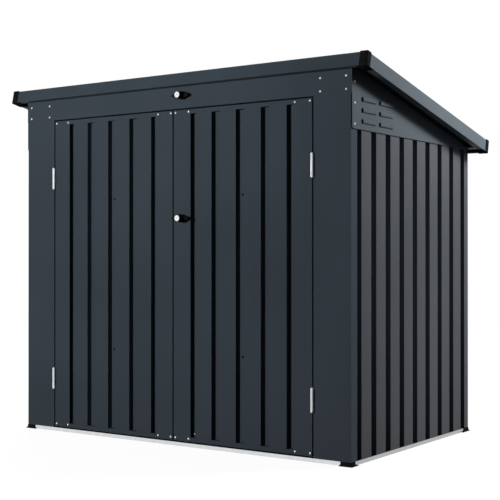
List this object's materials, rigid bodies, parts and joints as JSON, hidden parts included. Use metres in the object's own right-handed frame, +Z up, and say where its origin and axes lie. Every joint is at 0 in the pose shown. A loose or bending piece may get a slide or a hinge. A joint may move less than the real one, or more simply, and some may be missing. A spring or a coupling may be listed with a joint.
{
  "type": "metal bin store",
  "caption": "Metal bin store with ribbed walls, a pair of side-hung front doors and a sloping roof that lifts as a lid.",
  "frame": {"origin": "centre of the whole footprint at ground level, under the middle of the bounding box", "axes": "+X along the width, to the right seen from the front; +Y from the doors to the rear; +Z up"},
  "size_m": [1.5678, 0.9792, 1.306],
  "materials": {
    "anthracite_front": "satin",
    "anthracite_walls": "satin",
    "anthracite_roof": "satin",
    "galvanised": "spangled",
    "zinc_hardware": "satin",
    "black_plastic": "matte",
    "chrome_cylinder": "polished"
  },
  "bodies": {
    "cabinet": {"base_rail_front": "galvanised", "base_rail_rear": "galvanised", "base_rails_side": "galvanised", "base_feet": "black_plastic", "corner_post_front_left": "anthracite_front", "corner_post_front_right": "anthracite_front", "corner_post_rear_left": "anthracite_walls", "corner_post_rear_right": "anthracite_walls", "header_panel": "anthracite_front", "rear_top_rail": "anthracite_walls", "wall_studs": "galvanised", "side_sheet_left_front": "anthracite_walls", "side_sheet_left_rear": "anthracite_walls", "side_sheet_right_front": "anthracite_walls", "side_sheet_right_rear": "anthracite_walls", "rear_sheet_left": "anthracite_walls", "rear_sheet_right": "anthracite_walls", "gable_left": "anthracite_walls", "gable_right": "anthracite_walls", "post_hinges": "zinc_hardware", "lid_pivot_brackets": "zinc_hardware", "lid_lock_grip": "black_plastic"},
    "door_left": {"door_left_stiles": "anthracite_front", "door_left_rails": "anthracite_front", "door_left_sheet": "anthracite_front", "door_left_braces": "galvanised", "door_left_hinges": "zinc_hardware"},
    "door_right": {"door_right_stiles": "anthracite_front", "door_right_rails": "anthracite_front", "door_right_sheet": "anthracite_front", "door_right_braces": "galvanised", "door_right_hinges": "zinc_hardware", "door_lock_grip": "black_plastic"},
    "door_lock": {"door_lock_cylinder": "chrome_cylinder", "door_lock_cam": "zinc_hardware"},
    "lid": {"roof_rail_front": "anthracite_roof", "roof_rail_rear": "anthracite_roof", "roof_rails_side": "anthracite_roof", "roof_caps": "black_plastic", "roof_sheet_left": "anthracite_roof", "roof_sheet_right": "anthracite_roof", "roof_brace": "galvanised", "lid_pivot_rod": "zinc_hardware", "lid_lock_keeper": "zinc_hardware"},
    "lid_lock": {"lid_lock_cylinder": "chrome_cylinder", "lid_lock_cam": "zinc_hardware"}
  },
  "joints": [
    {"name": "door_left_swing", "type": "hinge", "parent": "cabinet", "child": "door_left", "pos_m": [-0.574, -0.45858, 0.6], "axis": [0, 0, -1], "range_deg": [0, 160]},
    {"name": "door_right_swing", "type": "hinge", "parent": "cabinet", "child": "door_right", "pos_m": [0.574, -0.45858, 0.6], "axis": [0, 0, 1], "range_deg": [0, 160]},
    {"name": "lid_lift", "type": "hinge", "parent": "cabinet", "child": "lid", "pos_m": [0, 0.46542, 1.07733], "axis": [-1, 0, 0], "range_deg": [0, 55]},
    {"name": "door_lock_turn", "type": "hinge", "parent": "door_right", "child": "door_lock", "pos_m": [0.0445, -0.45358, 0.796], "axis": [0, -1, 0], "range_deg": [0, 90]},
    {"name": "lid_lock_turn", "type": "hinge", "parent": "cabinet", "child": "lid_lock", "pos_m": [0.0445, -0.45358, 1.2242], "axis": [0, -1, 0], "range_deg": [0, 90]}
  ]
}
